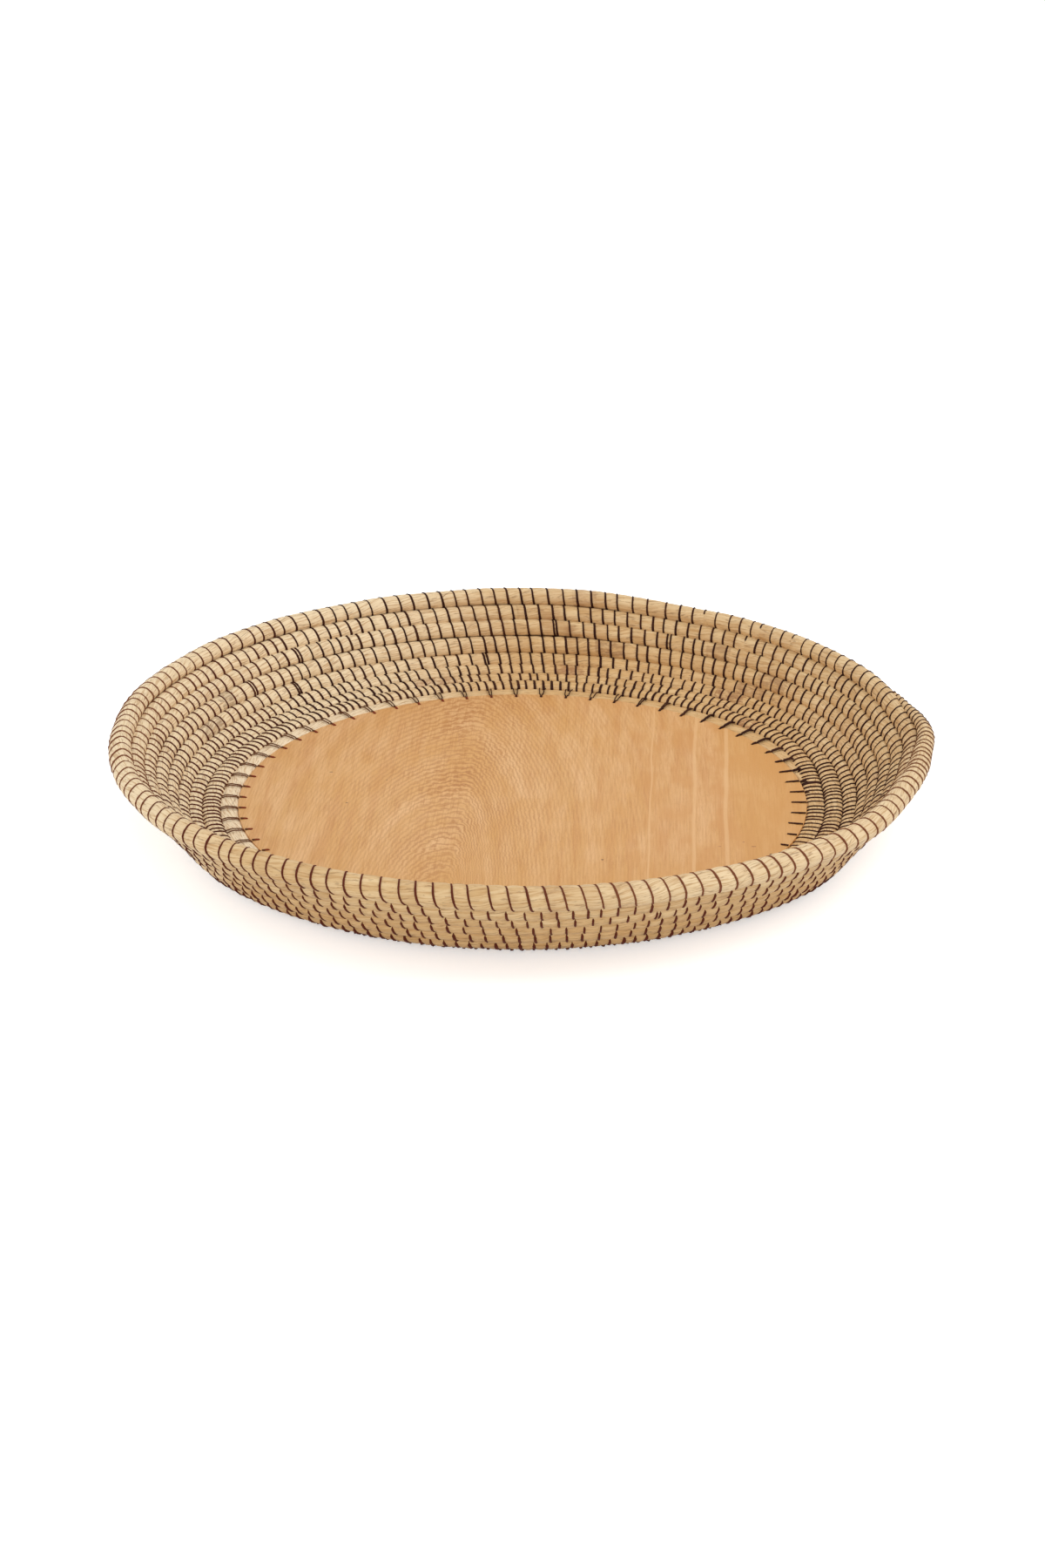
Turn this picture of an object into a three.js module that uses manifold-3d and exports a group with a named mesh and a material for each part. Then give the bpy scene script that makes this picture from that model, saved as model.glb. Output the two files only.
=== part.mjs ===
// Round serving tray: a thin wooden disc in a low bowl of coiled grass, laced together at the disc's edge.
// Units are millimetres and +Z is up. The tray stands on z = 0, and the origin is below its middle.
// Angles run anticlockwise as seen from above, from +X, the tray's right side.
import * as THREE from 'three';
import { mergeVertices } from 'three/addons/utils/BufferGeometryUtils.js';
import Module from 'manifold-3d';

// Wooden disc
const DISC_RADIUS = 159.5;
const DISC_THICKNESS = 4;
const DISC_SIDES = 96;
const HOLE_COUNT = 65;
const HOLE_CLEARANCE = 0.55;
const HOLE_SIDES = 8;
const HOLE_TO_EDGE = 3.6;

// Grass coil: one bundle that winds outwards, flat round the disc and then up the wall to a thicker rim
const COIL_WIDTH = 8.5;
const RIM_WIDTH = 12.8;
const BUNDLE_TALLNESS = 1.07;
const FLAT_ROWS = 3;
const WALL_ROWS = 5;
const WALL_SLOPE_DEG = 50.5;
const RIM_SLOPE_DEG = 58;
const ROW_GAP = 0.7;
const BEND_GAP = 1.5;
const SEAT_GAP = 0.4;
const TIP_GAP = 0.6;
const FOOT_CUT = 0.5;

// Each turn climbs to the next row in the same short stretch, where the bundle also starts and ends
const STEPS_PER_TURN = 24;
const CLIMB_FIRST_STEP = -1;
const CLIMB_STEPS = 3;
const COIL_END_STEP = 1;
const COIL_SECTION_POINTS = 6;

// Lacing: one thread that winds round the innermost turn and comes up through every hole
const LACING_DIAMETER = 0.9;
const LACING_CLEARANCE = 0.3;
const LACING_ABOVE_TABLE = 0.2;
const LACING_SECTION_POINTS = 5;

// Where a stitch of the lacing passes, each as a share of the way from its hole to the next one
const SHARE_OVER_INSIDE = 0.15;
const SHARE_OVER_TOP = 0.3;
const SHARE_OVER_OUTSIDE = 0.45;
const SHARE_DOWN = 0.5;
const SHARE_BELOW = 0.65;

// Worked out from the sizes above
const STEP_ANGLE = (2 * Math.PI) / STEPS_PER_TURN;
const CHORD_FIT = 2 / (1 + Math.cos(STEP_ANGLE / 2));
const WALL_SLOPE = THREE.MathUtils.degToRad(WALL_SLOPE_DEG);
const RIM_SLOPE = THREE.MathUtils.degToRad(RIM_SLOPE_DEG);
const COIL_HALF = COIL_WIDTH / 2;
const RIM_HALF = RIM_WIDTH / 2;
const COIL_TALL = COIL_HALF * BUNDLE_TALLNESS;
const HOLE_DIAMETER = LACING_DIAMETER + 2 * HOLE_CLEARANCE;
const LACING_OFFSET = LACING_DIAMETER / 2 + LACING_CLEARANCE;
const LACING_GAP = 2 * LACING_OFFSET;
const RAISED = LACING_ABOVE_TABLE + LACING_DIAMETER + LACING_CLEARANCE;
const DISC_TOP = RAISED + DISC_THICKNESS;
const HOLE_CIRCLE = DISC_RADIUS - HOLE_TO_EDGE;
const RIM_ROW = FLAT_ROWS + WALL_ROWS + 1;

// Gap between a row and the one inside it: the lacing passes down between the flat rows
function gapInside(row) {
  if (row <= FLAT_ROWS) return LACING_GAP;
  return row === FLAT_ROWS + 1 ? BEND_GAP : ROW_GAP;
}

// Distance of each row's middle along the bowl's profile, measured outwards and up from row 1.
// The bundle's ends taper towards row 0 and the row past the rim. Row 0 is thinner than nothing, so that
// the start stays against the disc and leaves the lacing its gap.
function layRows() {
  const rows = [{ along: -COIL_HALF - LACING_OFFSET, half: -LACING_OFFSET }];
  for (let row = 1; row <= RIM_ROW; row += 1) {
    const half = row === RIM_ROW ? RIM_HALF : COIL_HALF;
    const previous = rows[row - 1];
    const along = row === 1 ? 0 : previous.along + previous.half + gapInside(row) + half;
    rows.push({ along, half });
  }
  rows.push({ along: rows[RIM_ROW].along + RIM_HALF + TIP_GAP, half: 0 });
  return rows;
}
const ROWS = layRows();

// The bowl's profile: flat to the last flat row, an arc up to the wall, the straight wall and the rim
const BEND_START = ROWS[FLAT_ROWS].along;
const BEND_END = ROWS[FLAT_ROWS + 1].along;
const WALL_END = ROWS[RIM_ROW - 1].along;
const BEND_RADIUS = (BEND_END - BEND_START) / WALL_SLOPE;
const ROW_1_RADIUS = (DISC_RADIUS + SEAT_GAP + COIL_HALF) / (CHORD_FIT * Math.cos(STEP_ANGLE / 2));
const FLAT_ROW_HEIGHT = COIL_TALL - FOOT_CUT;
const ROW_1_LIFT = RAISED + COIL_TALL - FLAT_ROW_HEIGHT;
const RIM_REACH = ROW_1_RADIUS + ROWS[RIM_ROW].along + RIM_WIDTH;

function profileAt(along) {
  const lift = ROW_1_LIFT * (1 - THREE.MathUtils.smoothstep(along, 0, ROWS[2].along));
  const turned = THREE.MathUtils.clamp((along - BEND_START) / BEND_RADIUS, 0, WALL_SLOPE);
  const onWall = THREE.MathUtils.clamp(along, BEND_END, WALL_END) - BEND_END;
  const onRim = Math.max(along - WALL_END, 0);
  return {
    r: ROW_1_RADIUS + Math.min(along, BEND_START) + BEND_RADIUS * Math.sin(turned)
      + onWall * Math.cos(WALL_SLOPE) + onRim * Math.cos(RIM_SLOPE),
    z: FLAT_ROW_HEIGHT + lift + BEND_RADIUS * (1 - Math.cos(turned))
      + onWall * Math.sin(WALL_SLOPE) + onRim * Math.sin(RIM_SLOPE),
  };
}

// Place, thickness and tilt of the bundle at a step, counted from the start of the coil.
// It is tilted towards the middle of the next turn out.
function bundleAt(step) {
  const turn = Math.floor((step - CLIMB_FIRST_STEP) / STEPS_PER_TURN);
  const climbed = step - CLIMB_FIRST_STEP - turn * STEPS_PER_TURN;
  const share = THREE.MathUtils.smoothstep(climbed, 0, CLIMB_STEPS);
  const along = THREE.MathUtils.lerp(ROWS[turn].along, ROWS[turn + 1].along, share);
  const half = THREE.MathUtils.lerp(ROWS[turn].half, ROWS[turn + 1].half, share);
  const middle = profileAt(along);
  const outer = profileAt(along + COIL_WIDTH + ROW_GAP);
  return { ...middle, half, tilt: Math.atan2(outer.z - middle.z, outer.r - middle.r) };
}

function atAngle(angle, r, z) {
  return new THREE.Vector3(r * Math.cos(angle), r * Math.sin(angle), z);
}

// Section of the bundle, with flat sides towards the turns inside and outside it.
// Its corners are counted from the upper outer one, over the top to the inside and round below.
const CORNERS = { upperOuter: 0, top: 1, upperInner: 2, lowerOuter: 5 };

function bundleSection(step) {
  const bundle = bundleAt(step);
  const ring = [];
  for (let point = 0; point < COIL_SECTION_POINTS; point += 1) {
    const corner = ((point + 0.5) * 2 * Math.PI) / COIL_SECTION_POINTS;
    const across = (bundle.half * Math.cos(corner)) / Math.cos(Math.PI / COIL_SECTION_POINTS);
    const upright = bundle.half * BUNDLE_TALLNESS * Math.sin(corner);
    const r = bundle.r + across * Math.cos(bundle.tilt) - upright * Math.sin(bundle.tilt);
    const z = bundle.z + across * Math.sin(bundle.tilt) + upright * Math.cos(bundle.tilt);
    ring.push(atAngle(step * STEP_ANGLE, r * CHORD_FIT, z));
  }
  return ring;
}

// A closed tube through a row of sections with equally many points
function tubeGeometry(rings) {
  const sides = rings[0].length;
  const positions = rings.flat().flatMap((point) => point.toArray());
  const faces = [];
  for (let ring = 0; ring < rings.length - 1; ring += 1) {
    for (let side = 0; side < sides; side += 1) {
      const a = ring * sides + side;
      const b = ring * sides + ((side + 1) % sides);
      faces.push(a, a + sides, b, b, a + sides, b + sides);
    }
  }
  const last = (rings.length - 1) * sides;
  for (let side = 1; side < sides - 1; side += 1) {
    faces.push(0, side, side + 1);
    faces.push(last, last + side + 1, last + side);
  }
  const geometry = new THREE.BufferGeometry();
  geometry.setAttribute('position', new THREE.Float32BufferAttribute(positions, 3));
  geometry.setIndex(faces);
  return geometry;
}

// Clear distance between two sections in one upright plane, below zero where they overlap: the widest
// strip, along any side of either one, that has a section on each side of it
function sectionGap(ringA, ringB) {
  const side = new THREE.Vector3();
  const outward = new THREE.Vector3();
  const plane = ringA[1].clone().sub(ringA[0]).cross(ringA[2].clone().sub(ringA[1])).normalize();
  let gap = -Infinity;
  for (const [ring, other] of [[ringA, ringB], [ringB, ringA]]) {
    ring.forEach((corner, index) => {
      side.copy(ring[(index + 1) % ring.length]).sub(corner);
      outward.crossVectors(side, plane).normalize();
      const offset = outward.dot(corner);
      gap = Math.max(gap, Math.min(...other.map((point) => outward.dot(point) - offset)));
    });
  }
  return gap;
}

function middleRing(ringA, ringB) {
  return ringA.map((corner, index) => corner.clone().lerp(ringB[index], 0.5));
}

// Least gap between a turn and the next one, at each section and halfway between sections
function leastTurnGap(rings, ringsPerTurn) {
  let gap = Infinity;
  for (let ring = 0; ring + ringsPerTurn + 1 < rings.length; ring += 1) {
    const outer = ring + ringsPerTurn;
    const between = middleRing(rings[ring], rings[ring + 1]);
    const outerBetween = middleRing(rings[outer], rings[outer + 1]);
    gap = Math.min(gap, sectionGap(rings[ring], rings[outer]), sectionGap(between, outerBetween));
  }
  return gap;
}

const manifold = await Module();
manifold.setup();

function toSolid(geometry) {
  const bare = geometry.clone();
  bare.deleteAttribute('normal');
  bare.deleteAttribute('uv');
  const merged = mergeVertices(bare);
  return new manifold.Manifold(new manifold.Mesh({
    numProp: 3,
    vertProperties: Float32Array.from(merged.attributes.position.array),
    triVerts: Uint32Array.from(merged.index.array),
  }));
}

function toGeometry(solid) {
  const mesh = solid.getMesh();
  const geometry = new THREE.BufferGeometry();
  geometry.setAttribute('position', new THREE.Float32BufferAttribute(mesh.vertProperties, 3));
  geometry.setIndex(Array.from(mesh.triVerts));
  return geometry;
}

// Wooden disc with its ring of lacing holes
function makeDisc() {
  const outline = new THREE.Shape();
  for (let side = 0; side < DISC_SIDES; side += 1) {
    const corner = atAngle((side * 2 * Math.PI) / DISC_SIDES, DISC_RADIUS, 0);
    if (side === 0) outline.moveTo(corner.x, corner.y);
    else outline.lineTo(corner.x, corner.y);
  }
  for (let hole = 0; hole < HOLE_COUNT; hole += 1) {
    const middle = atAngle(holeAngle(hole), HOLE_CIRCLE, 0);
    const path = new THREE.Path();
    path.absarc(middle.x, middle.y, HOLE_DIAMETER / 2, 0, 2 * Math.PI, true);
    outline.holes.push(path);
  }
  const geometry = new THREE.ExtrudeGeometry(outline, {
    depth: DISC_THICKNESS,
    bevelEnabled: false,
    curveSegments: HOLE_SIDES / 2,
  });
  return geometry.translate(0, 0, RAISED);
}

// Grass coil, cut flat where its lowest rows stand on the table
function makeCoil() {
  const lastStep = RIM_ROW * STEPS_PER_TURN + COIL_END_STEP;
  const rings = [];
  for (let step = 0; step <= lastStep; step += 1) rings.push(bundleSection(step));
  console.log(`grass_coil: least gap to itself ${leastTurnGap(rings, STEPS_PER_TURN).toFixed(2)} mm`);
  const coil = toSolid(tubeGeometry(rings));
  const width = 2 * RIM_REACH;
  const below = new THREE.BoxGeometry(width, width, COIL_WIDTH).translate(0, 0, -COIL_WIDTH / 2);
  return toGeometry(coil.subtract(toSolid(below)));
}

function holeAngle(hole) {
  return ((hole + 0.5) * 2 * Math.PI) / HOLE_COUNT;
}

// The faceted innermost turn at an angle: the corners of its section and their middle
function lacedSection(angle) {
  const step = angle / STEP_ANGLE;
  const first = Math.floor(step);
  const next = bundleSection(first + 1);
  const corners = bundleSection(first).map((corner, index) => corner.lerp(next[index], step - first));
  const middle = new THREE.Vector3();
  corners.forEach((corner) => middle.addScaledVector(corner, 1 / corners.length));
  return { corners, middle };
}

// A point clear of a corner of the laced turn
function pastCorner({ corners, middle }, index) {
  const outward = corners[index].clone().sub(middle).normalize();
  const clear = LACING_OFFSET / Math.cos(Math.PI / COIL_SECTION_POINTS);
  return corners[index].clone().addScaledVector(outward, clear);
}

// Route of the lacing: up through a hole, over the turn, down outside it and back below to the next hole
function lacingRoute() {
  const below = RAISED - LACING_OFFSET;
  const stitch = [
    { share: 0, place: (section, angle) => atAngle(angle, HOLE_CIRCLE, below) },
    { share: 0, place: (section, angle) => atAngle(angle, HOLE_CIRCLE, DISC_TOP + LACING_OFFSET) },
    { share: SHARE_OVER_INSIDE, place: (section) => pastCorner(section, CORNERS.upperInner) },
    { share: SHARE_OVER_TOP, place: (section) => pastCorner(section, CORNERS.top) },
    { share: SHARE_OVER_OUTSIDE, place: (section) => pastCorner(section, CORNERS.upperOuter) },
    { share: SHARE_DOWN, place: (section) => pastCorner(section, CORNERS.lowerOuter) },
    { share: SHARE_BELOW, place: (section) => section.middle.setZ(below) },
  ];
  const points = [];
  for (let hole = 0; hole < HOLE_COUNT; hole += 1) {
    for (const { share, place } of stitch) {
      const angle = holeAngle(hole) + (share * 2 * Math.PI) / HOLE_COUNT;
      points.push(place(lacedSection(angle), angle));
    }
  }
  return points;
}

// Sections of a thread along a route, carried along it without twist
function threadRings(route, diameter, sides) {
  const rings = [];
  const across = new THREE.Vector3(0, 0, 1).cross(route[0]).normalize();
  route.forEach((point, index) => {
    const before = route[Math.max(index - 1, 0)];
    const after = route[Math.min(index + 1, route.length - 1)];
    const incoming = point.clone().sub(before).normalize();
    const outgoing = after.clone().sub(point).normalize();
    const forward = incoming.add(outgoing).normalize();
    across.addScaledVector(forward, -across.dot(forward)).normalize();
    const upright = forward.clone().cross(across);
    const ring = [];
    for (let side = 0; side < sides; side += 1) {
      const corner = (side * 2 * Math.PI) / sides;
      const offset = across.clone().multiplyScalar(Math.cos(corner));
      offset.addScaledVector(upright, -Math.sin(corner));
      ring.push(point.clone().addScaledVector(offset, diameter / 2));
    }
    rings.push(ring);
  });
  return rings;
}

function makeLacing() {
  const route = lacingRoute();
  const perStitch = route.length / HOLE_COUNT;
  let gap = Infinity;
  for (let point = 0; point + perStitch < route.length; point += 1) {
    gap = Math.min(gap, route[point].distanceTo(route[point + perStitch]) - LACING_DIAMETER);
  }
  console.log(`base_lacing: least gap to itself ${gap.toFixed(2)} mm`);
  return tubeGeometry(threadRings(route, LACING_DIAMETER, LACING_SECTION_POINTS));
}

function addPiece(parent, name, geometry, color, roughness) {
  const material = new THREE.MeshStandardMaterial({ color, roughness, metalness: 0 });
  const mesh = new THREE.Mesh(geometry, material);
  mesh.name = name;
  parent.add(mesh);
}

const tray = new THREE.Group();
addPiece(tray, 'wooden_base', makeDisc(), 0xddac76, 0.55);
addPiece(tray, 'grass_coil', makeCoil(), 0xd8bc92, 0.8);
addPiece(tray, 'base_lacing', makeLacing(), 0x3c2823, 0.85);

export default tray;
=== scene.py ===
# %% [markdown]
# # A coiled grass tray with a wooden base
#
# The tray is a thin wooden disc with a bundle of dry grass wound round it, nine times. A dark thread sews
# each turn of the bundle to the one inside it, and a second thread laces the innermost turn to the disc
# through a ring of small holes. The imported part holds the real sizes, so it is loaded first and stays where
# it is. Everything after this is the finish: a good wood for the disc, and a finely made bundle and
# threads.

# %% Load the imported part
import math
import random

import bmesh
import bpy
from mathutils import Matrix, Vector, noise


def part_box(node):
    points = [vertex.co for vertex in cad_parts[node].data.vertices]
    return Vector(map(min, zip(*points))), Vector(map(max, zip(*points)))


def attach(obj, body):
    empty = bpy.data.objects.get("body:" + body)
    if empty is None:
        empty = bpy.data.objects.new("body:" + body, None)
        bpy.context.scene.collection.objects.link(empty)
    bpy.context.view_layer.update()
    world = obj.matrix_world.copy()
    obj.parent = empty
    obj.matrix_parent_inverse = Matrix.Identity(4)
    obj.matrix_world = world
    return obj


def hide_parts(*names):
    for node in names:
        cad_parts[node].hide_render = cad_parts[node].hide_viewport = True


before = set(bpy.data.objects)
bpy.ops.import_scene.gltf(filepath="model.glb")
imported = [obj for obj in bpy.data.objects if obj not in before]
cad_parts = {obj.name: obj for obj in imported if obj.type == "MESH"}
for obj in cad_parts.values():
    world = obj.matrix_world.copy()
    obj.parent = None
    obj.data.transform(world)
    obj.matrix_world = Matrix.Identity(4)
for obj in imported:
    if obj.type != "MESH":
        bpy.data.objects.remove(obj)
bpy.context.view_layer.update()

MM = 0.001
print("nodes:", sorted(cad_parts))

# %% [markdown]
# ## Camera
#
# The photograph was taken from a little under two metres away, looking down with a longer lens, so the
# ellipse of the rim is only slightly larger at the near side. The place and lens below were found by
# fitting the rim, the grooves between the turns and the disc's edge. The lens belongs to the taller side of
# the image.

# %% Camera
CAMERA_PLACE = (0.0, -1.6474, 0.7092)
CAMERA_DOWN_DEG = 22.893
CAMERA_LENS = 73.12
SENSOR_HEIGHT = 36.0

camera_data = bpy.data.cameras.new("camera")
camera_data.sensor_fit = "VERTICAL"
camera_data.sensor_height = SENSOR_HEIGHT
camera_data.lens = CAMERA_LENS
camera = bpy.data.objects.new("camera", camera_data)
camera.location = CAMERA_PLACE
camera.rotation_euler = (math.radians(90 - CAMERA_DOWN_DEG), 0.0, 0.0)
bpy.context.scene.collection.objects.link(camera)
bpy.context.scene.camera = camera
print("camera distance from the tray:", round(Vector(CAMERA_PLACE).length, 3), "m")

# %% [markdown]
# ## Helpers for materials
#
# A procedural material is a small network of nodes. Built by hand in the editor it is quick to try, but in
# a script each node and link is a line. A few helpers keep these networks readable: they add a node and
# fill or link its inputs in one go, do sums, make noise, and lay one colour over another through a mask.

# %% Helpers for materials
TURN = 2 * math.pi


def add_node(tree, kind, inputs=None, **settings):
    """Adds a node with its settings, and gives each named input a value or a link."""
    item = tree.nodes.new(kind)
    for key, value in settings.items():
        setattr(item, key, value)
    for key, value in (inputs or {}).items():
        if isinstance(value, bpy.types.NodeSocket):
            tree.links.new(value, item.inputs[key])
        else:
            item.inputs[key].default_value = value
    return item


def new_material(name):
    """A material with an empty Principled surface, its tree and its shader."""
    material = bpy.data.materials.new(name)
    material.use_nodes = True
    tree = material.node_tree
    return material, tree, tree.nodes["Principled BSDF"]


print("materials of the packed part:", len(bpy.data.materials))

# %% Helpers for materials: sums
def math_node(tree, operation, *values, clamp=False):
    item = add_node(tree, "ShaderNodeMath", dict(enumerate(values)), operation=operation, use_clamp=clamp)
    return item.outputs[0]


def times(tree, first, second, clamp=False):
    return math_node(tree, "MULTIPLY", first, second, clamp=clamp)


def times_plus(tree, first, second, third):
    """First times second, plus third."""
    return math_node(tree, "MULTIPLY_ADD", first, second, third)


def minus(tree, first, second):
    return math_node(tree, "SUBTRACT", first, second)


def larger(tree, first, second):
    return math_node(tree, "MAXIMUM", first, second)


def step_up(tree, value, low, high):
    """0 at low, 1 at high, with a smooth rise between them. With low above high it falls instead."""
    inputs = {"Value": value, "From Min": low, "From Max": high}
    return add_node(tree, "ShaderNodeMapRange", inputs, interpolation_type="SMOOTHSTEP").outputs["Result"]


print("sums: times, times_plus, minus, larger, step_up")

# %% Helpers for materials: places and noise
def parts(tree, vector):
    """The X, Y and Z of a vector."""
    return add_node(tree, "ShaderNodeSeparateXYZ", {0: vector}).outputs


def flat_vector(tree, first, second=0.0):
    return add_node(tree, "ShaderNodeCombineXYZ", {0: first, 1: second}).outputs[0]


def vector_length(tree, vector):
    return add_node(tree, "ShaderNodeVectorMath", {0: vector}, operation="LENGTH").outputs["Value"]


def mapped(tree, vector, **inputs):
    """A vector that is moved, turned or scaled by a Mapping node."""
    return add_node(tree, "ShaderNodeMapping", {"Vector": vector, **inputs}).outputs[0]


def object_place(tree):
    return add_node(tree, "ShaderNodeTexCoord").outputs["Object"]


def own_map(tree, name):
    """One of the piece's own maps."""
    return add_node(tree, "ShaderNodeUVMap", uv_map=name).outputs[0]


def soft_noise(tree, vector, scale, detail=2.0, roughness=0.5):
    """Cloudy noise round a half, with about this many clouds to the metre."""
    inputs = {"Vector": vector, "Scale": scale, "Detail": detail, "Roughness": roughness}
    return add_node(tree, "ShaderNodeTexNoise", inputs).outputs["Fac"]


print("maps: fibre, look and stain; noise in clouds to the metre")

# %% Helpers for materials: colour
def paint(*screen_colour):
    """A colour as it looks on screen, 0 to 255, as the linear colour that Blender works in."""
    shares = [value / 255 for value in screen_colour]
    linear = [share / 12.92 if share <= 0.04045 else ((share + 0.055) / 1.055) ** 2.4 for share in shares]
    return (*linear, 1.0)


def mix_colour(tree, factor, low, high):
    """A Mix node. Its colour sockets share their names with others, so they go by number."""
    return add_node(tree, "ShaderNodeMix", {0: factor, 6: low, 7: high}, data_type="RGBA").outputs[2]


def layered(tree, colour, layers):
    """Lays each layer over the colour: its mask, how strong it is, and its own colour."""
    for mask, strength, tint in layers:
        colour = mix_colour(tree, times(tree, mask, strength), colour, tint)
    return colour


def fill_surface(tree, shader, colour, rough, raised, shine):
    """Gives the shader its colour, roughness from a pattern, small relief from a height, and its shine."""
    pattern, base, spread = rough
    height, strength, depth = raised
    bump = add_node(tree, "ShaderNodeBump", {"Strength": strength, "Distance": depth, "Height": height})
    tree.links.new(colour, shader.inputs["Base Color"])
    tree.links.new(times_plus(tree, pattern, spread, base), shader.inputs["Roughness"])
    tree.links.new(bump.outputs["Normal"], shader.inputs["Normal"])
    shader.inputs["Specular IOR Level"].default_value = shine


print("white on screen, in linear light:", paint(255, 255, 255))

# %% [markdown]
# ## Shared effects
#
# Wood, grass and thread are all made of fibres, so all three need fine streaks that run one way, and all
# three have patches of another tone. Each effect is a node group: it is built once, and each material
# places it with its own scale. A group can be changed later in one place, which copied nodes can't.

# %% Shared effects
PATCH_EDGE = 0.22


def new_group(name, inputs, output):
    """A node group with named sockets, the outputs of its input node, and the socket of its result."""
    tree = bpy.data.node_groups.new(name, "ShaderNodeTree")
    for label, kind in inputs.items():
        tree.interface.new_socket(name=label, in_out="INPUT", socket_type=kind)
    tree.interface.new_socket(name=output, in_out="OUTPUT", socket_type="NodeSocketFloat")
    return tree, tree.nodes.new("NodeGroupInput").outputs, tree.nodes.new("NodeGroupOutput").inputs[output]


def make_streaks():
    """Streaks that are long along the first coordinate and narrow along the second."""
    sockets = {"Vector": "NodeSocketVector", "Along": "NodeSocketFloat", "Across": "NodeSocketFloat"}
    tree, entry, result = new_group("fibre_streaks", sockets, "Streak")
    scale = flat_vector(tree, entry["Along"], entry["Across"])
    place = add_node(tree, "ShaderNodeVectorMath", {0: entry["Vector"], 1: scale}, operation="MULTIPLY")
    tree.links.new(soft_noise(tree, place.outputs[0], 1.0, 3.0, 0.6), result)
    return tree


def make_patches():
    """Soft patches of another tone. A higher start leaves fewer and smaller ones."""
    sockets = {"Vector": "NodeSocketVector", "Scale": "NodeSocketFloat", "Start": "NodeSocketFloat"}
    tree, entry, result = new_group("tone_patches", sockets, "Patch")
    cloud = soft_noise(tree, entry["Vector"], entry["Scale"], 4.0, 0.55)
    end = math_node(tree, "ADD", entry["Start"], PATCH_EDGE)
    tree.links.new(step_up(tree, cloud, entry["Start"], end), result)
    return tree


STREAKS = make_streaks()
PATCHES = make_patches()


def streaks(tree, vector, along, across):
    inputs = {"Vector": vector, "Along": along, "Across": across}
    return add_node(tree, "ShaderNodeGroup", node_tree=STREAKS, inputs=inputs).outputs["Streak"]


def patches(tree, vector, scale, start):
    inputs = {"Vector": vector, "Scale": scale, "Start": start}
    return add_node(tree, "ShaderNodeGroup", node_tree=PATCHES, inputs=inputs).outputs["Patch"]


print("groups:", [group.name for group in bpy.data.node_groups])

# %% [markdown]
# ## Wood
#
# The disc is a light orange board, cut so that the growth rings meet its face at a low angle. Such a cut
# shows nested arches, and straight lines beside them. One formula gives both: the distance from the tree's
# middle, which lies deeper under one end of the board than under the other. That distance is pushed about
# by noise, and a wave of it draws the rings. A plain wave texture would give straight bands everywhere.

# %% Wood: colours and places
WOOD_PALE = paint(230, 184, 130)
WOOD_MIDDLE = paint(217, 167, 106)
WOOD_LINE = paint(182, 122, 66)
WOOD_RED = paint(204, 144, 86)
WOOD_GOLD = paint(211, 155, 84)
STAIN = paint(134, 58, 34)
FLECK_BROWN = paint(98, 64, 34)
# pale straight stripes in the wood: the distance across and the half width, in mm
STRIPES = [(74, 0.7), (99, 1.4), (117, 1.6)]
# dark and reddish flecks in the wood: the place and the half length and half width, in mm
FLECKS = [(-109.7, 36.9, 1.3, 0.5), (-98.5, -7.7, 0.7, 0.7), (-77.3, 25.2, 0.5, 0.5), (43.0, -85.3, 0.8, 0.8)]
RED_FLECKS = [(125.6, -67.9, 1.4, 0.8), (107.2, -67.9, 1.0, 0.5), (120.4, -62.0, 0.8, 0.6)]
# where a tone starts and where it is full: across the board, towards its front, and towards the far left
RIGHT_TONE = (10 * MM, 110 * MM)
FAR_RIGHT_TONE = (108 * MM, 128 * MM)
FRONT_TONE = (-60 * MM, -150 * MM)
CORNER_TONE = (60 * MM, 230 * MM)
CORNER_LEAN = -0.7
HOLE_COUNT = 65
HOLE_CIRCLE = 155.9 * MM
DISC_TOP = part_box("wooden_base")[1].z
DISC_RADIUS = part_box("wooden_base")[1].x
print("disc of", round(2 * DISC_RADIUS / MM, 1), "mm, its top at", round(DISC_TOP / MM, 2), "mm")

# %% Wood: growth rings
# the grain leans this much across the board for each unit along it
GRAIN_LEAN = 0.05
# the tree's middle crosses the board's face here, and lies deeper towards the back by this much for each unit
ARCH_ACROSS = -35 * MM
ARCH_START = -165 * MM
ARCH_TILT = 0.3
ARCH_HALF_WIDTH = 38 * MM
# right of the tree's middle the rings are pushed outwards, over this distance and by this much
STEEP_REACH = 20 * MM
STEEP_PUSH = 32 * MM
RING_SPACING = 2.1 * MM
# how far noise moves the rings: in long bends, in small curls, and in the curls near the arches
RING_BEND = 12 * MM
RING_CURL = 0.6 * MM
ARCH_CURL = 4.0 * MM


def along_grain(tree, place):
    """The place on the board, pushed sideways so that the grain runs along Y."""
    x, y, _ = parts(tree, place)
    return flat_vector(tree, times_plus(tree, y, -GRAIN_LEAN, x), y)


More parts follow.
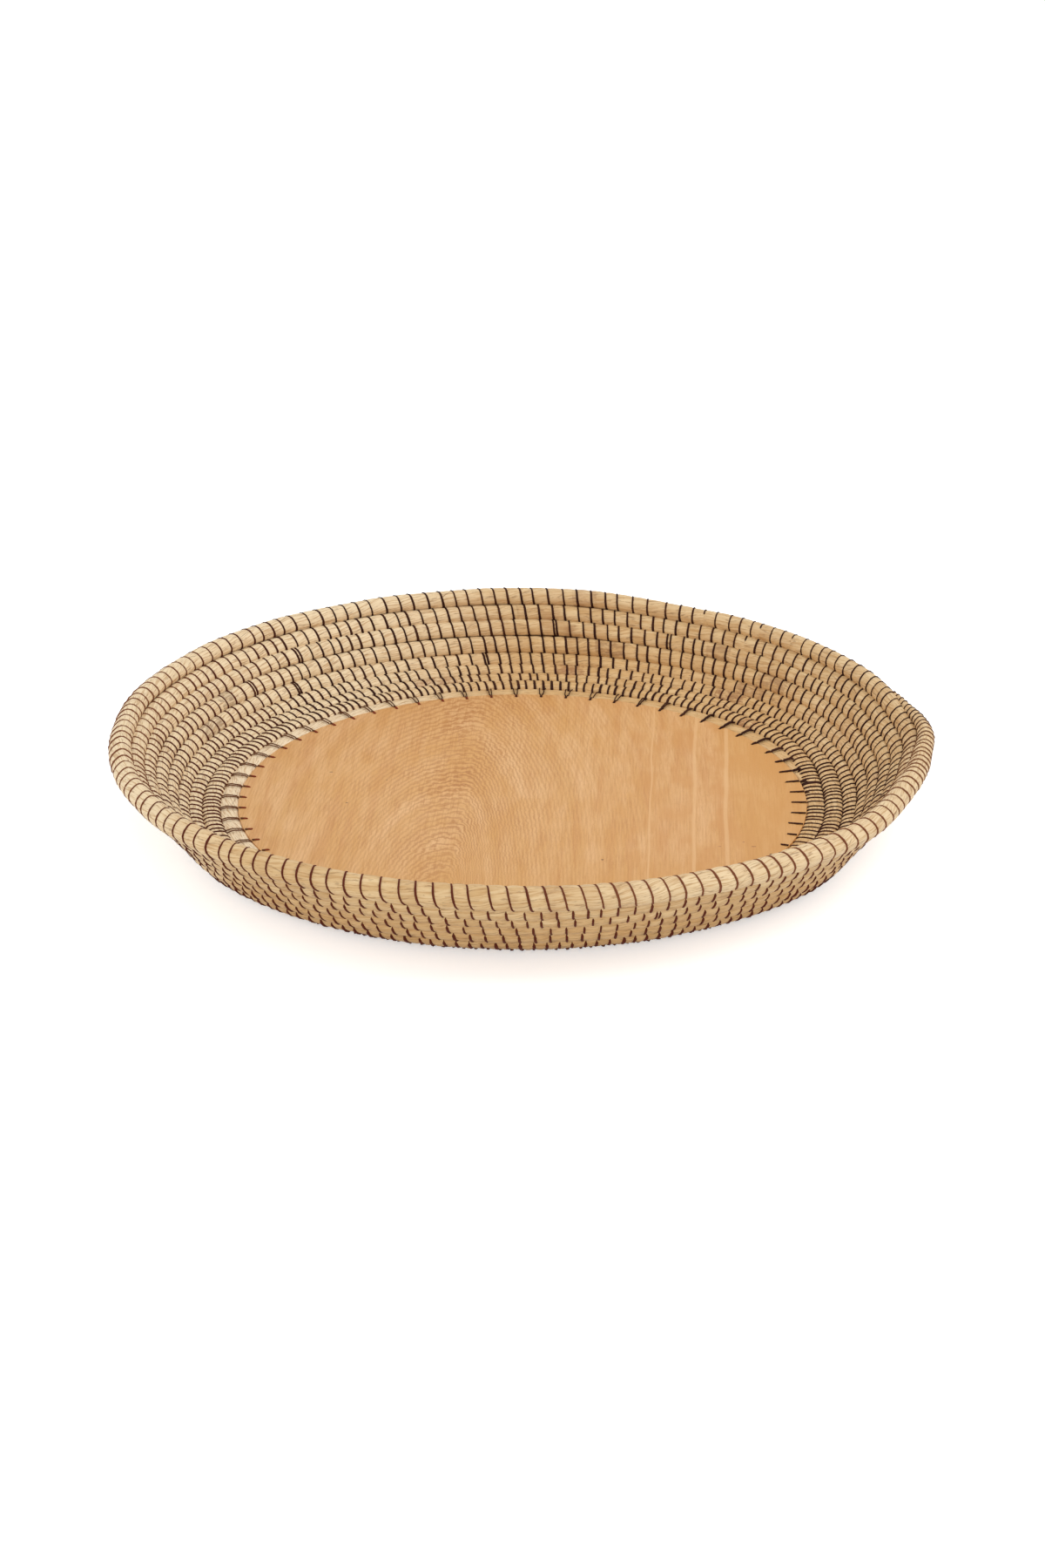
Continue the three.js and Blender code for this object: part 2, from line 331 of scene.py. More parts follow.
def ring_distance(tree, board):
    """How far a point is from the tree's middle, in metres, and how near it is to the arches."""
    bend = soft_noise(tree, mapped(tree, board, Scale=(1.0, 0.3, 1.0)), 14.0, 1.0)
    curl = soft_noise(tree, board, 180.0, 2.0, 0.6)
    x, y, _ = parts(tree, board)
    across = minus(tree, x, ARCH_ACROSS)
    spread = times_plus(tree, times(tree, across, across), ARCH_HALF_WIDTH ** -2, 1.0)
    near = math_node(tree, "DIVIDE", 1.0, spread)
    steep = math_node(tree, "TANH", times(tree, larger(tree, across, 0.0), 1 / STEEP_REACH))
    across = times_plus(tree, steep, STEEP_PUSH, across)
    deep = times(tree, minus(tree, y, ARCH_START), ARCH_TILT)
    squares = times_plus(tree, across, across, times(tree, deep, deep))
    distance = times_plus(tree, bend, RING_BEND, math_node(tree, "SQRT", squares))
    return times_plus(tree, curl, times_plus(tree, near, ARCH_CURL, RING_CURL), distance), near


print("rings every", round(RING_SPACING / MM, 2), "mm")

# %% Wood: stains, stripes and flecks
# the stain at a hole: how far out it starts, how it is stretched inwards, and where its ragged edge fades
STAIN_OUT = 0.3 * MM
STAIN_STRETCH = 0.75
STAIN_EDGE = (0.75 * MM, 1.3 * MM)
STAIN_RAGGED = 0.6 * MM
STRIPE_SWAY = 4 * MM
FLECK_RAGGED = 0.8


def flat_radius(tree, place):
    """The distance from the tray's middle line."""
    x, y, _ = parts(tree, place)
    return vector_length(tree, flat_vector(tree, x, y))


def hole_stains(tree, place):
    """Red-brown marks where the waxed thread has coloured the wood, a short streak inwards from each hole."""
    x, y, _ = parts(tree, place)
    share = times(tree, math_node(tree, "ARCTAN2", y, x), HOLE_COUNT / TURN)
    beside = math_node(tree, "FRACT", math_node(tree, "ADD", share, HOLE_COUNT))
    beside = times(tree, minus(tree, beside, 0.5), TURN * HOLE_CIRCLE / HOLE_COUNT)
    inward = times(tree, minus(tree, HOLE_CIRCLE + STAIN_OUT, flat_radius(tree, place)), STAIN_STRETCH)
    spread = vector_length(tree, flat_vector(tree, beside, inward))
    spread = times_plus(tree, soft_noise(tree, place, 600.0), STAIN_RAGGED, spread)
    return minus(tree, 1.0, step_up(tree, spread, *STAIN_EDGE))


def stripes(tree, board):
    """The few pale stripes that run straight along the board."""
    sway = soft_noise(tree, board, 12.0, 1.0)
    across = times_plus(tree, sway, STRIPE_SWAY, parts(tree, board)["X"])
    found = 0.0
    for middle, half_width in STRIPES:
        off = math_node(tree, "ABSOLUTE", minus(tree, across, middle * MM))
        found = larger(tree, found, step_up(tree, off, half_width * MM, 0.4 * half_width * MM))
    return found


def flecks(tree, place, table):
    """Small marks in the wood, one for each line of the table."""
    ragged = soft_noise(tree, place, 900.0)
    found = 0.0
    for x, y, half_length, half_width in table:
        middle = (-x / half_length, -y / half_width, 0.0)
        scale = (1 / (half_length * MM), 1 / (half_width * MM), 0.0)
        away = mapped(tree, place, Location=middle, Scale=scale)
        far = times_plus(tree, ragged, FLECK_RAGGED, vector_length(tree, away))
        found = larger(tree, found, step_up(tree, far, 1.6, 1.0))
    return found


print("stripes:", len(STRIPES), "flecks:", len(FLECKS + RED_FLECKS), "stained holes:", HOLE_COUNT)

# %% Wood: tones
def wood_tones(tree, place, board, near_arches):
    """The broad tones of the board, as layers: warm and pale patches, bands along the grain, and sides."""
    x, y, _ = parts(tree, place)
    long_board = mapped(tree, board, Scale=(1.0, 0.4, 1.0))
    bands = soft_noise(tree, mapped(tree, board, Scale=(1.0, 0.06, 1.0)), 150.0, 4.0)
    banded = minus(tree, 0.5, times(tree, near_arches, 0.4))
    blotches = patches(tree, long_board, 75.0, 0.42)
    right = times(tree, step_up(tree, x, *RIGHT_TONE), times_plus(tree, blotches, 0.5, 0.2))
    corner = times_plus(tree, x, CORNER_LEAN, y)
    under = [
        (patches(tree, long_board, 24.0, 0.42), 0.62, WOOD_GOLD),
        (step_up(tree, corner, *CORNER_TONE), 0.35, WOOD_RED),
        (patches(tree, place, 16.0, 0.5), 0.5, WOOD_PALE),
        (step_up(tree, bands, 0.5, 0.62), banded, WOOD_PALE),
        (step_up(tree, bands, 0.5, 0.36), banded, WOOD_RED),
    ]
    over = [
        (right, 1.0, WOOD_RED),
        (blotches, 0.22, WOOD_GOLD),
        (step_up(tree, x, *FAR_RIGHT_TONE), 0.5, WOOD_GOLD),
        (step_up(tree, y, *FRONT_TONE), 0.45, WOOD_GOLD),
    ]
    return under, over


print("tones from x =", round(RIGHT_TONE[0] / MM), "mm and y =", round(FRONT_TONE[0] / MM), "mm")

# %% Wood: all together
def make_wood():
    material, tree, shader = new_material("wood")
    place = object_place(tree)
    board = along_grain(tree, place)
    turned = mapped(tree, board, Rotation=(0.0, 0.0, TURN / 4))
    distance, near_arches = ring_distance(tree, board)
    wave = math_node(tree, "SINE", times(tree, distance, TURN / RING_SPACING))
    rings = math_node(tree, "POWER", times_plus(tree, wave, 0.5, 0.5), 1.4)
    broad = soft_noise(tree, flat_vector(tree, times(tree, distance, 95.0)), 1.0, 3.0)
    shown = times(tree, soft_noise(tree, place, 22.0), times_plus(tree, near_arches, 1.0, 0.08))
    lines = times(tree, times(tree, rings, shown), 1.5, clamp=True)
    fine = streaks(tree, turned, 40.0, 1100.0)
    pores = streaks(tree, turned, 190.0, 2400.0)
    grain = soft_noise(tree, place, 1100.0)
    under, over = wood_tones(tree, place, board, near_arches)
    colour = mix_colour(tree, step_up(tree, broad, 0.36, 0.64), WOOD_MIDDLE, WOOD_PALE)
    colour = layered(tree, colour, under + [
        (lines, 1.0, WOOD_LINE),
        (step_up(tree, fine, 0.46, 0.66), 0.4, WOOD_LINE),
        (step_up(tree, pores, 0.56, 0.68), 0.45, WOOD_LINE),
        (step_up(tree, grain, 0.55, 0.7), 0.25, WOOD_PALE),
    ] + over + [
        (stripes(tree, board), 0.6, WOOD_PALE),
        (flecks(tree, place, FLECKS), 0.8, FLECK_BROWN),
        (flecks(tree, place, RED_FLECKS), 0.5, STAIN),
        (hole_stains(tree, place), 1.0, STAIN),
    ])
    height = times_plus(tree, fine, 0.6, times(tree, rings, 0.4))
    fill_surface(tree, shader, colour, (fine, 0.42, 0.2), (height, 0.35, 0.15 * MM), 0.35)
    return material


wood = make_wood()
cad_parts["wooden_base"].data.materials.clear()
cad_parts["wooden_base"].data.materials.append(wood)
print("wood of", len(wood.node_tree.nodes), "nodes")

# %% [markdown]
# ## The line that the bundle follows
#
# All nine rows are one bundle. On a real tray of this kind the rows lie level, and each turn climbs to the
# next row in the same short stretch, here at the right. A plain spiral would put the climb everywhere, and
# its grooves would not run level. So three small tables hold the middle of each row at the sides, at the
# back and at the front, and the bundle blends between them as it goes round. A hand-sewn bowl isn't quite
# round either, and a fourth table holds how far this one is from a round one.

# %% The line that the bundle follows: its tables
# radius and height of the middle of each row, in mm, from the start of the bundle to its end on the rim
SIDE_ROWS = [
    (160.6, 3.0), (164.7, 3.1), (174.8, 4.0), (184.3, 4.6), (192.0, 9.4), (197.8, 16.6), (203.7, 23.9),
    (210.3, 30.8), (216.9, 37.8), (224.6, 45.6), (227.0, 48.9),
]
BACK_ROWS = [
    (160.6, 3.0), (164.7, 3.1), (174.9, 3.9), (184.6, 4.4), (193.3, 7.0), (201.0, 11.7), (206.0, 20.4),
    (211.3, 29.7), (216.3, 37.5), (222.6, 45.7), (225.4, 49.2),
]
FRONT_ROWS = [
    (160.6, 3.0), (164.7, 3.1), (174.8, 4.0), (184.5, 4.6), (192.8, 9.2), (199.0, 16.0), (205.0, 23.0),
    (211.0, 30.0), (217.0, 37.2), (222.8, 46.2), (225.4, 49.4),
]
# how far the bowl is from a round one: the angle in degrees, how far out and up the rim lies, and how far out
# the middle of the wall lies, in mm
BOWL_SHAPE = [
    (0, 0.0, 0.0, 0.0), (12, -2.5, -2.0, 0.0), (30, -4.0, -3.5, 0.0), (60, -2.0, -3.0, 0.0),
    (88, 0.0, 0.0, 0.0), (165, -0.5, -0.5, 0.0), (182, -1.8, 0.0, 0.0), (204, -1.0, 0.0, 0.5),
    (218, 0.0, 0.0, 2.5), (240, 0.0, 0.0, 1.5), (270, 0.0, 0.0, 0.0), (300, 0.0, 0.0, 0.5),
    (320, 0.5, 0.0, 3.0), (338, -4.0, 0.0, 0.0), (350, -3.0, 0.0, 0.0), (360, 0.0, 0.0, 0.0),
]
# half thickness of the bundle at its start, on each row and at its end, in mm
HALF_THICKNESS = [1.3, 2.4, 3.8, 4.3, 4.5, 4.6, 4.6, 4.6, 4.6, 6.1, 1.2]
# half widths in mm: where the bundle starts, on row 1, on the rim and at its end
START_HALF_WIDTH, FIRST_HALF_WIDTH, RIM_HALF_WIDTH, END_HALF = 0.6, 5.8, 5.6, 1.0
# the rows press into each other by this much at each side, in mm
OVERLAP = 0.5
FLAT_ROWS, RIM_ROW = 3, 9
# the climb to the next row: where it starts, and how long it takes, in turns
CLIMB_FIRST = -10 / 360
CLIMB_SHARE = 44 / 360
COIL_END = RIM_ROW + 18 / 360
print("rows:", RIM_ROW, "turns:", COIL_END)

# %% The line that the bundle follows: its section
# the thin end lies this much deeper, in mm, against the row below it, and grows thin over this part of a turn
TUCKED_IN = 2.2
TAPER, TAPER_CURVE = 50 / 360, 2.4
# the middle row of the wall, and how many rows its own swelling reaches
WALL_MIDDLE, WALL_REACH = 5, 4
# the bundle's small drift: its most in mm, how often it changes, and how it differs from row to row
DRIFT, DRIFT_SCALE, DRIFT_SHIFT = 0.5, 6.0, 2.7
TABLE_STEPS = 360


def smooth(value, start=0.0, end=1.0):
    """0 at start, 1 at end, with a smooth rise between them. With start above end it falls instead."""
    share = min(max((value - start) / (end - start), 0.0), 1.0)
    return share * share * (3 - 2 * share)


def blend(low, high, share):
    return low + (high - low) * share


def row_middle(row, turns):
    """Radius and height of a row's middle, in mm, on the side where the bundle is."""
    lift = math.sin(turns * TURN)
    far, near = max(lift, 0.0) ** 2, max(-lift, 0.0) ** 2
    shares = ((SIDE_ROWS, 1 - far - near), (BACK_ROWS, far), (FRONT_ROWS, near))
    return [sum(table[row][axis] * share for table, share in shares) for axis in (0, 1)]


def row_section(row, turns):
    """Radius, height, half width, half thickness and tilt of a row, in mm."""
    here = Vector(row_middle(row, turns))
    inner = Vector(row_middle(max(row - 1, 0), turns))
    outer = Vector(row_middle(min(row + 1, RIM_ROW), turns))
    if row <= 1:
        return [*here, START_HALF_WIDTH if row == 0 else FIRST_HALF_WIDTH, HALF_THICKNESS[row], 0.0]
    if row >= RIM_ROW:
        inner = Vector(row_middle(RIM_ROW - 1, turns))
        last = Vector(row_middle(RIM_ROW, turns))
        width = RIM_HALF_WIDTH if row == RIM_ROW else END_HALF
        return [*here, width, HALF_THICKNESS[row], math.atan2(last.y - inner.y, last.x - inner.x)]
    width = ((here - inner).length + (outer - here).length) / 4 + OVERLAP
    return [*here, width, HALF_THICKNESS[row], math.atan2(outer.y - inner.y, outer.x - inner.x)]


def bowl_shape(degrees):
    """The hand-made shape at one side of the bowl, in mm: rim outwards, rim upwards, and wall outwards."""
    degrees %= 360
    for (start, *low), (end, *high) in zip(BOWL_SHAPE, BOWL_SHAPE[1:]):
        if degrees <= end:
            share = smooth(degrees, start, end)
            return [blend(*pair, share) for pair in zip(low, high)]
    return BOWL_SHAPE[-1][1:]


def wander(turns, row):
    """How far the bundle lies off its tables, in mm, outwards and up: the bowl's shape and a small drift."""
    angle = turns * TURN
    spot = Vector((math.cos(angle), math.sin(angle), 0.0))
    rise = min(max(row - FLAT_ROWS, 0) / (RIM_ROW - FLAT_ROWS), 1.0)
    rim_out, rim_up, wall_out = bowl_shape(math.degrees(angle))
    belly = max(1 - abs(row - WALL_MIDDLE) / WALL_REACH, 0.0)
    own = noise.noise(spot * DRIFT_SCALE + Vector((0.0, 0.0, DRIFT_SHIFT * row))) * DRIFT
    return rim_out * rise + wall_out * belly + own * 0.5, rim_up * rise + own * rise


def climb(turns):
    """The row that the bundle is on, and how far it has climbed to the next. Rows 1 to 3 start later."""
    row = int(math.floor(turns - CLIMB_FIRST))
    start = CLIMB_FIRST * (1 if row == 0 else min((row - 1) / FLAT_ROWS, 1.0))
    return row, smooth(turns - row, start, CLIMB_FIRST + CLIMB_SHARE)


def measure_bundle(turns):
    """The bundle's section after a number of turns: radius, height, half width, half thickness and tilt."""
    row, share = climb(turns)
    rows = zip(row_section(row, turns), row_section(row + 1, turns))
    radius, height, width, thickness, tilt = (blend(*pair, share) for pair in rows)
    if turns > COIL_END - TAPER:
        left = 1 - (1 - max((COIL_END - turns) / TAPER, 0.0)) ** TAPER_CURVE
        width = blend(END_HALF, RIM_HALF_WIDTH, left)
        thickness = blend(END_HALF, HALF_THICKNESS[RIM_ROW], left)
        radius -= TUCKED_IN * (1 - left) * math.cos(tilt)
        height -= TUCKED_IN * (1 - left) * math.sin(tilt)
    out, up = wander(turns, row + share)
    return ((radius + out) * MM, (height + up) * MM, width * MM, thickness * MM, tilt)


print("the bundle's start:", [round(value, 4) for value in measure_bundle(0.0)])

# %% The line that the bundle follows: its length
sections = [measure_bundle(step / TABLE_STEPS) for step in range(int(COIL_END * TABLE_STEPS) + 1)]


def bundle(turns):
    """The bundle's section, read from the finished list of sections."""
    place = min(max(turns, 0.0) * TABLE_STEPS, len(sections) - 1.001)
    index = int(place)
    return [blend(*pair, place - index) for pair in zip(sections[index], sections[index + 1])]


def to_turns(distance, turns):
    """A distance along the bundle, in turns, at this place."""
    return distance / (TURN * bundle(turns)[0])


coil_length = sum(TURN * section[0] / TABLE_STEPS for section in sections[1:])
print("length of the grass bundle:", round(coil_length, 2), "m")

# %% [markdown]
# ## Where the stitches are
#
# The sewing thread passes round the bundle every 5 to 9 mm: closer on the flat rows, wider on the rim. A
# hand sets them, so the steps differ, a few stitches lie double, and the tapered end of the rim is sewn
# down closely. The list of stitches comes first, because the bundle is pinched under each of them.

# %% Where the stitches are
# spacing of the stitches on each row, in mm
SPACING = [0, 15.3, 5.1, 5.9, 6.55, 7.8, 7.7, 7.75, 8.2, 8.9, 3.0]
SEWN_FROM = 0.9
# how much a step differs, how often a stitch lies double and how far beside its fellow
UNEVEN = 0.09
DOUBLE_CHANCE = 0.006
DOUBLE_STEP = (1.7 * MM, 2.5 * MM)
# the stitches are closer where the rim comes round to its end
CLOSE_FROM = 8.94
CLOSE_SPACING = 6.2
# places, in turns, where a second strand lies beside a stitch, and where the grass hides half a stitch
DOUBLED = [4.2625, 4.3672, 5.3903, 6.2283, 6.3606]
HALF_SEEN = [7.1417, 8.1125, 8.1328, 8.1647]
# a stretch of the rim without stitches
OPEN_STRETCH = (8.1835, 8.1915)
dice = random.Random(11)


def spacing(turns):
    row, share = climb(turns)
    if row <= 1 and turns > SEWN_FROM - 0.01:
        row, share = 2, 0.0
    gap = blend(SPACING[row], SPACING[row + 1], share)
    return (min(gap, CLOSE_SPACING) if turns > CLOSE_FROM else gap) * MM


def place_stitches():
    """Places of the stitches, in turns from the start of the bundle."""
    places = []
    doubled = list(DOUBLED)
    turns = SEWN_FROM
    while turns < COIL_END - 0.002:
        places.append(turns)
        step = spacing(turns) * (1 + dice.gauss(0, UNEVEN))
        if doubled and turns > doubled[0] or dice.random() < DOUBLE_CHANCE:
            step = dice.uniform(*DOUBLE_STEP)
            doubled = [place for place in doubled if place > turns]
        turns += to_turns(step, turns)
        if OPEN_STRETCH[0] < turns < OPEN_STRETCH[1]:
            turns = OPEN_STRETCH[1]
    return places


stitches = place_stitches()
lacings = [(hole + 0.5) / HOLE_COUNT for hole in range(HOLE_COUNT)]
print("stitches:", len(stitches), "in", round(stitches[-1] - stitches[0], 2), "turns")

# %% [markdown]
# ## Grass bundle
#
# The bundle is a long soft rope of grass. It could be a curve with a round bevel, but then it would have
# the same thickness everywhere, and the real one swells between the stitches and narrows under them. So it
# starts as a flat grid, one column for each step along the bundle, and the grid is rolled up: each of its
# points moves to its place on the bundle. The grid's own map comes along, so the fibres later know which
# way to run. The steps are set by the stitches, with a step right at each one. The seam faces the row
# inside, where it is hidden.

# %% Grass bundle: steps along it
SIDES = 20
PINCH = 0.55 * MM
PINCH_REACH = 1.2 * MM
# the steps from one stitch to the next, as shares of the way, and the steps where the stitches are close
BETWEEN, BETWEEN_CLOSE = (0.0, 0.13, 0.36, 0.64, 0.87), (0.0, 0.5)
CLOSE_STITCHES = 2.5 * MM


def coil_steps():
    """Each step along the bundle: its turns, how tightly it is drawn in, and the number of its cell."""
    knots = [0.0] + [place for place in lacings if place < SEWN_FROM - 0.008] + stitches + [COIL_END]
    steps = []
    for cell, (start, end) in enumerate(zip(knots, knots[1:])):
        length = (end - start) * TURN * bundle(start)[0]
        for share in BETWEEN if length > CLOSE_STITCHES else BETWEEN_CLOSE:
            near = min(share, 1 - share) * length
            steps.append((blend(start, end, share), math.exp(-((near / PINCH_REACH) ** 2)), cell))
    steps.append((COIL_END, 1.0, len(knots)))
    return steps


all_steps = coil_steps()
print("steps along the bundle:", len(all_steps))

# %% Grass bundle: its outline
SQUARENESS = 2.5
# a stitch draws the bundle in by no more than this share of its half width
MOST_DRAWN = 0.3
# each cell between two stitches swells by chance, by about this much in mm, and has a look of its own
CELL_SWELL = 0.14
CELL_COUNT = len(stitches) + 80
cell_dice = random.Random(5)
cell_swell = [cell_dice.gauss(0, CELL_SWELL) * MM for _ in range(CELL_COUNT)]
cell_looks = [(cell_dice.random(), cell_dice.random()) for _ in range(CELL_COUNT)]
# stained stretches of the bundle: the place in turns, the reach in mm, and how brown and how grey
STAINED = [
    (1.1078, 7, 0.9, 0.0), (3.1339, 11, 0.8, 0.1), (3.2244, 9, 0.8, 0.0), (4.4367, 13, 0.3, 0.5),
    (5.1139, 12, 0.5, 0.2), (5.4144, 8, 0.2, 0.5), (7.4667, 2.5, 1.0, 0.0), (2.2960, 14, 0.7, 0.0),
    (5.2050, 10, 0.5, 0.2), (6.1500, 9, 0.4, 0.2), (4.1250, 10, 0.5, 0.1), (8.2200, 8, 0.4, 0.0),
]


def stain_of(turns):
    """How brown and how grey the grass is at a place on the bundle."""
    for place, reach, brown, grey in STAINED:
        if abs(turns - place) < to_turns(reach * MM, turns):
            return (brown, grey)
    return (0.0, 0.0)


def round_tray(radius, angle, height):
    return Vector((radius * math.cos(angle), radius * math.sin(angle), height))


def rounded(value):
    return math.copysign(abs(value) ** (2 / SQUARENESS), value)


def on_bundle(turns, around, out=0.0, pinch=0.0, swell=0.0):
    """A point on the bundle's skin. Around is 0 at the row outside, and a quarter turn on the inner face."""
    radius, height, width, thickness, tilt = bundle(turns)
    drawn = min(pinch * PINCH, MOST_DRAWN * width) - swell
    sideways = rounded(math.cos(around)) * (width - drawn * 0.5) + math.cos(around) * out
    upright = rounded(math.sin(around)) * (thickness - drawn) + math.sin(around) * out
    r = radius + sideways * math.cos(tilt) - upright * math.sin(tilt)
    z = height + sideways * math.sin(tilt) + upright * math.cos(tilt)
    return round_tray(r, turns * TURN, z)


print("a point on the rim:", [round(value, 4) for value in on_bundle(8.5, math.pi / 2)])

# %% Grass bundle: roll up the grid
SEAM_GAP = 0.001 * MM


def rolled_tube(name, columns, sides, place, map_length, look=None, stain=None):
    """A grid rolled into a closed tube. Place and the maps are worked out for each column and side."""
    mesh = bpy.data.meshes.new(name)
    bm = bmesh.new()
    fibre_map = bm.loops.layers.uv.new("fibre")
    look_map = bm.loops.layers.uv.new("look")
    stain_map = bm.loops.layers.uv.new("stain")
    bmesh.ops.create_grid(bm, x_segments=columns - 1, y_segments=sides, size=0.5, calc_uvs=True)
    for vertex in bm.verts:
        column = round((vertex.co.x + 0.5) * (columns - 1))
        side = round((vertex.co.y + 0.5) * sides)
        vertex.co = place(column, side)
    for face in bm.faces:
        face.smooth = True
        spots = [loop[fibre_map].uv.copy() for loop in face.loops]
        first = round(min(spot.x for spot in spots) * (columns - 1))
        for loop, spot in zip(face.loops, spots):
            loop[fibre_map].uv = map_length(round(spot.x * (columns - 1)), spot.y)
            loop[look_map].uv = look(first) if look else (0.5, 0.5)
            loop[stain_map].uv = stain(first) if stain else (0.0, 0.0)
    seam = [vertex for vertex in bm.verts if vertex.is_boundary]
    bmesh.ops.remove_doubles(bm, verts=seam, dist=SEAM_GAP)
    ends = [edge for edge in bm.edges if edge.is_boundary]
    bmesh.ops.holes_fill(bm, edges=ends, sides=0)
    bmesh.ops.recalc_face_normals(bm, faces=bm.faces)
    bm.to_mesh(mesh)
    bm.free()
    piece = bpy.data.objects.new(name, mesh)
    bpy.context.scene.collection.objects.link(piece)
    return piece


print("a grid's edges are joined within", SEAM_GAP, "m")

# %% Grass bundle: ridges and lean
# the bundle's map is as long as a ring of this radius for each turn, and this wide
MIDDLE_RADIUS = 0.2
GIRTH = 30 * MM
# low ridges: how often they change along the bundle, to the metre, and round it, and their height
RIDGES_ALONG, RIDGES_ROUND, RIDGE_HEIGHT = 30, 2.8, 0.3 * MM
# how far a stitch moves along the bundle on its inner face and on its outer face, in parts of the spacing
LEAN_IN, LEAN_OUT, LEAN_OUT_RIM = 0.36, 0.1, 0.3
LEAN_CURVE = 1.4
# past this share of the way round, the bundle's skin faces the row inside and can't be seen
HIDDEN = 0.86


def on_rim(turns):
    """0 below the rim's row, and 1 on it."""
    return smooth(turns - RIM_ROW + 1, CLIMB_FIRST, CLIMB_FIRST + CLIMB_SHARE)


def stitch_lean(share, turns):
    """How far a stitch has moved along the bundle, in turns, at this share of the way round it."""
    outside = blend(LEAN_OUT, LEAN_OUT_RIM, on_rim(turns))
    moved = LEAN_IN * (min(share, 0.5) * 2) ** LEAN_CURVE
    moved += outside * min(max(share - 0.5, 0.0), HIDDEN - 0.5) / (HIDDEN - 0.5)
    return to_turns(moved * spacing(turns), turns)


def lean(around, turns):
    """The same for the bundle's skin, which turns back before the seam so that its edges meet."""
    share = (math.pi - around) / TURN
    return stitch_lean(min(share, HIDDEN), turns) * smooth(share, 1.0, HIDDEN)


def relief(turns, around):
    """Low ridges where single stems and leaves lie in the bundle."""
    along = turns * TURN * MIDDLE_RADIUS
    spot = Vector((along * RIDGES_ALONG, math.cos(around) * RIDGES_ROUND, math.sin(around) * RIDGES_ROUND))
    return noise.noise(spot) * RIDGE_HEIGHT


print("a stitch on the rim leans", round(stitch_lean(HIDDEN, 8.5) * 360, 2), "degrees")

# %% Grass bundle: its three stretches
LOWEST = 0.05 * MM
# how much lower the ridges are right under a stitch
RIDGES_PRESSED = 0.6
# the stretches, in turns
STRETCHES = {
    "coil_floor_rows": (0.0, 4.25), "coil_wall_rows": (4.25, 7.25), "coil_rim_rows": (7.25, COIL_END + 1),
}


def make_bundle(name, steps):
    """One stretch of the bundle, from its list of steps."""
    def place(column, side):
        turns, pinch, cell = steps[column]
        around = math.pi - side * TURN / SIDES
        out = 0.0 if side in (0, SIDES) else relief(turns, around) * (1 - RIDGES_PRESSED * pinch)
        if turns > SEWN_FROM:
            turns = min(turns + lean(around, turns), COIL_END)
        point = on_bundle(turns, around, out, pinch, cell_swell[cell] * (1 - pinch))
        point.z = max(point.z, LOWEST)
        return point

    def map_length(column, share):
        return (steps[column][0] * TURN * MIDDLE_RADIUS, share * GIRTH)

    stains = [stain_of(turns) for turns, pinch, cell in steps]
    piece = rolled_tube(
        name, len(steps), SIDES, place, map_length,
        look=lambda column: cell_looks[steps[column][2]], stain=lambda column: stains[column],
    )
    print(name, len(piece.data.vertices), "points,", len(piece.data.polygons), "faces")
    return piece


def steps_between(first, last):
    inside = [index for index, step in enumerate(all_steps) if first <= step[0] < last]
    return all_steps[inside[0]:inside[-1] + 2]


bundle_pieces = [make_bundle(name, steps_between(*ends)) for name, ends in STRETCHES.items()]

# %% [markdown]
# ## Grass material
#
# Dry grass leaves are straw coloured, with fine fibres along them. They lie slightly askew in the bundle,
# so an edge of a leaf now and then crosses it at a low angle. The pattern follows the bundle's own map, in
# metres along it and round it. Each cell between two stitches has a tone of its own, because another part
# of a leaf comes to the top there. A few cells are browned or grey. The far sides of the tray are painted
# paler as a painted sheen, and the top of the rim has a painted highlight.

# %% Grass: colours and places
STRAW = paint(214, 178, 126)
STRAW_PALE = paint(231, 202, 155)
STRAW_DEEP = paint(184, 138, 84)
STRAW_SHEEN_PALE = paint(241, 219, 181)
STRAW_GOLD = paint(220, 170, 106)
STRAW_CREAM = paint(246, 224, 190)
STRAW_LINE = paint(122, 78, 42)
BROWNED = paint(146, 88, 50)
GREYED = paint(96, 74, 54)
# a dark brown painted into the grooves as painted shade
GROOVE_SHADE = paint(84, 50, 28)
# the cosine of the way round at which the painted shade of the grooves starts, and where it is full
GROOVE_FROM, GROOVE_FULL = 0.84, 0.97
# rows 1 and 2 have no painted shade in their grooves, and it starts here, in turns
GROOVE_SHADE_START = 1.98
LEAF_WIDTH = 6.5 * MM
LEAF_BEND = 22 * MM
LEAF_TWIST = 0.1
TWIST_RANGE = 0.24
# where a tone starts and where it is full: paler with painted sheen at the far left, a painted highlight
# along the top of the rim but less at the front, painted sheen on the rim at the right, and paler on the low
# rows at the right
FAR_LEFT_SHEEN, FAR_LEFT_LEAN = (150 * MM, 470 * MM), -2.6
TOP_HIGHLIGHT, TOP_BACK = (40 * MM, 53 * MM), (-190 * MM, -20 * MM)
RIGHT_SHEEN, RIGHT_LEAN, RIGHT_HEIGHT = (190 * MM, 290 * MM), -0.9, (36 * MM, 44 * MM)
LOW_RIGHT_PALER, LOW_ROWS = (150 * MM, 175 * MM), (206 * MM, 190 * MM)
# golden on the low rows, and cream on the innermost row apart from its right side
LOW_GOLD = (36 * MM, 14 * MM)
FIRST_ROW, FIRST_ROW_LEFT = (171 * MM, 168 * MM), (-10 * MM, -140 * MM)
TURN_LENGTH = TURN * MIDDLE_RADIUS
print("a turn of the grass map is", round(TURN_LENGTH, 3), "m long")
